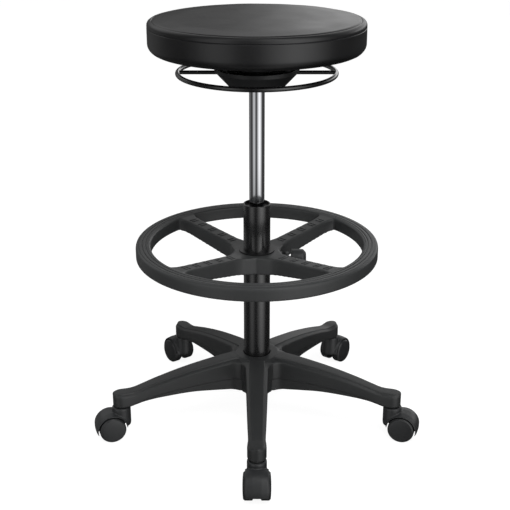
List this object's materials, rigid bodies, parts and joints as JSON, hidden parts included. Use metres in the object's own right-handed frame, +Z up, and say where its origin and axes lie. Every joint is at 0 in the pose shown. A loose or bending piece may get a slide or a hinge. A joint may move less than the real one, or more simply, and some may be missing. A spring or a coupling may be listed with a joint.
{
  "type": "drafting stool",
  "caption": "Backless drafting stool: round padded swivel seat on a gas lift with a circular release ring, spoked foot ring and star base on twin-wheel casters.",
  "frame": {"origin": "on the floor, on the axis of the gas-lift column", "axes": "+Z up along the column, -Y towards the arm that points forward, +X to the user's left when seated facing -Y, with the clamp knob on +X"},
  "size_m": [0.6208, 0.5919, 0.775],
  "materials": {
    "base_nylon": "moulded glass-filled nylon, fine spark texture",
    "foot_nylon": "moulded nylon, fine spark texture",
    "caster_nylon": "moulded nylon, satin",
    "wheel_nylon": "moulded nylon, satin",
    "column_paint": "gloss black powder coat on steel",
    "chrome": "polished chrome plate",
    "steel": "zinc-plated steel",
    "black_steel": "satin black powder coat on steel",
    "ring_paint": "satin black powder coat on steel rod",
    "cover_plastic": "moulded polypropylene, satin",
    "knob_plastic": "moulded nylon, satin",
    "bush_acetal": "machined acetal",
    "brass": "turned",
    "rubber": "moulded",
    "plywood": "sanded plywood",
    "foam": "open-cell foam",
    "vinyl": "soft-sheen upholstery vinyl, fine grain",
    "dust_cloth": "non-woven cloth"
  },
  "bodies": {
    "base": {"star_base": "base_nylon", "grip_rings": "steel", "outer_tube": "column_paint", "guide_bush": "bush_acetal", "thrust_bearing": "steel"},
    "lift_rod": {"retaining_clip": "steel", "bearing_washer": "steel", "piston_rod": "steel", "piston_seal": "rubber", "bump_stop": "rubber"},
    "seat": {"pressure_tube": "chrome", "rod_gland": "rubber", "valve_block": "brass", "taper_socket": "black_steel", "mechanism_plate": "black_steel", "mechanism_cover": "cover_plastic", "cover_screws": "steel", "seat_board": "plywood", "tee_nuts": "steel", "seat_bolts": "steel", "foam_pad": "foam", "seat_cover": "vinyl", "under_cloth": "dust_cloth", "cover_staples": "steel"},
    "release_button": {"release_button": "bush_acetal"},
    "release_ring": {"release_yoke": "black_steel", "release_ring": "ring_paint"},
    "foot_slider": {"column_bushes": "bush_acetal"},
    "foot_ring": {"foot_ring": "foot_nylon", "clamp_nut": "steel"},
    "clamp_pad": {"pressure_pad": "brass"},
    "clamp_knob": {"clamp_stud": "steel", "clamp_knob": "knob_plastic"},
    "front_caster": {"front_hood": "caster_nylon", "front_stem": "steel", "front_axle": "steel"},
    "front_left_wheel": {"front_left_wheel": "wheel_nylon"},
    "front_right_wheel": {"front_right_wheel": "wheel_nylon"},
    "right_caster": {"right_hood": "caster_nylon", "right_stem": "steel", "right_axle": "steel"},
    "right_left_wheel": {"right_left_wheel": "wheel_nylon"},
    "right_right_wheel": {"right_right_wheel": "wheel_nylon"},
    "rear_right_caster": {"rear_right_hood": "caster_nylon", "rear_right_stem": "steel", "rear_right_axle": "steel"},
    "rear_right_left_wheel": {"rear_right_left_wheel": "wheel_nylon"},
    "rear_right_right_wheel": {"rear_right_right_wheel": "wheel_nylon"},
    "rear_left_caster": {"rear_left_hood": "caster_nylon", "rear_left_stem": "steel", "rear_left_axle": "steel"},
    "rear_left_left_wheel": {"rear_left_left_wheel": "wheel_nylon"},
    "rear_left_right_wheel": {"rear_left_right_wheel": "wheel_nylon"},
    "left_caster": {"left_hood": "caster_nylon", "left_stem": "steel", "left_axle": "steel"},
    "left_left_wheel": {"left_left_wheel": "wheel_nylon"},
    "left_right_wheel": {"left_right_wheel": "wheel_nylon"}
  },
  "joints": [
    {"name": "seat_spin", "type": "hinge", "parent": "base", "child": "lift_rod", "pos_m": [0, 0, 0.08], "axis": [0, 0, 1], "continuous": true},
    {"name": "seat_lift", "type": "slide", "parent": "lift_rod", "child": "seat", "axis": [0, 0, 1], "range_m": [-0.2, 0]},
    {"name": "release_press", "type": "slide", "parent": "seat", "child": "release_button", "axis": [0, 0, -1], "range_m": [0, 0.0025], "stiffness_N_per_m": 4000, "springref_m": -0.002},
    {"name": "release_tilt", "type": "hinge", "parent": "release_button", "child": "release_ring", "pos_m": [0, 0, 0.713], "axis": [-1, 0, 0], "range_deg": [0, 5], "stiffness_Nm_per_rad": 6, "springref_deg": -1.72},
    {"name": "foot_height", "type": "slide", "parent": "base", "child": "foot_slider", "axis": [0, 0, 1], "range_m": [-0.15, 0.06]},
    {"name": "foot_turn", "type": "hinge", "parent": "foot_slider", "child": "foot_ring", "pos_m": [0, 0, 0.33], "axis": [0, 0, 1], "continuous": true},
    {"name": "clamp_advance", "type": "slide", "parent": "foot_ring", "child": "clamp_pad", "axis": [1, 0, 0], "range_m": [0, 0.00125]},
    {"name": "clamp_turn", "type": "hinge", "parent": "clamp_pad", "child": "clamp_knob", "pos_m": [0.07, 0, 0.3315], "axis": [1, 0, 0], "range_deg": [0, 360]},
    {"name": "front_swivel", "type": "hinge", "parent": "base", "child": "front_caster", "pos_m": [0, -0.27, 0.06], "axis": [0, 0, 1], "continuous": true},
    {"name": "front_left_roll", "type": "hinge", "parent": "front_caster", "child": "front_left_wheel", "pos_m": [0, -0.291, 0.025], "axis": [1, 0, 0], "continuous": true},
    {"name": "front_right_roll", "type": "hinge", "parent": "front_caster", "child": "front_right_wheel", "pos_m": [0, -0.291, 0.025], "axis": [1, 0, 0], "continuous": true},
    {"name": "right_swivel", "type": "hinge", "parent": "base", "child": "right_caster", "pos_m": [0.25678, -0.08343, 0.06], "axis": [0, 0, 1], "continuous": true},
    {"name": "right_left_roll", "type": "hinge", "parent": "right_caster", "child": "right_left_wheel", "pos_m": [0.27676, -0.08992, 0.025], "axis": [0.309, 0.9511, 0], "continuous": true},
    {"name": "right_right_roll", "type": "hinge", "parent": "right_caster", "child": "right_right_wheel", "pos_m": [0.27676, -0.08992, 0.025], "axis": [0.309, 0.9511, 0], "continuous": true},
    {"name": "rear_right_swivel", "type": "hinge", "parent": "base", "child": "rear_right_caster", "pos_m": [0.1587, 0.21843, 0.06], "axis": [0, 0, 1], "continuous": true},
    {"name": "rear_right_left_roll", "type": "hinge", "parent": "rear_right_caster", "child": "rear_right_left_wheel", "pos_m": [0.17105, 0.23542, 0.025], "axis": [-0.809, 0.5878, 0], "continuous": true},
    {"name": "rear_right_right_roll", "type": "hinge", "parent": "rear_right_caster", "child": "rear_right_right_wheel", "pos_m": [0.17105, 0.23542, 0.025], "axis": [-0.809, 0.5878, 0], "continuous": true},
    {"name": "rear_left_swivel", "type": "hinge", "parent": "base", "child": "rear_left_caster", "pos_m": [-0.1587, 0.21843, 0.06], "axis": [0, 0, 1], "continuous": true},
    {"name": "rear_left_left_roll", "type": "hinge", "parent": "rear_left_caster", "child": "rear_left_left_wheel", "pos_m": [-0.17105, 0.23542, 0.025], "axis": [-0.809, -0.5878, 0], "continuous": true},
    {"name": "rear_left_right_roll", "type": "hinge", "parent": "rear_left_caster", "child": "rear_left_right_wheel", "pos_m": [-0.17105, 0.23542, 0.025], "axis": [-0.809, -0.5878, 0], "continuous": true},
    {"name": "left_swivel", "type": "hinge", "parent": "base", "child": "left_caster", "pos_m": [-0.25678, -0.08343, 0.06], "axis": [0, 0, 1], "continuous": true},
    {"name": "left_left_roll", "type": "hinge", "parent": "left_caster", "child": "left_left_wheel", "pos_m": [-0.27676, -0.08992, 0.025], "axis": [0.309, -0.9511, 0], "continuous": true},
    {"name": "left_right_roll", "type": "hinge", "parent": "left_caster", "child": "left_right_wheel", "pos_m": [-0.27676, -0.08992, 0.025], "axis": [0.309, -0.9511, 0], "continuous": true}
  ],
  "couplings": [
    {"joint": "release_press", "follows": "release_tilt", "m_per_rad": 0.028648},
    {"joint": "clamp_turn", "follows": "clamp_advance", "rad_per_m": 5026.5}
  ]
}
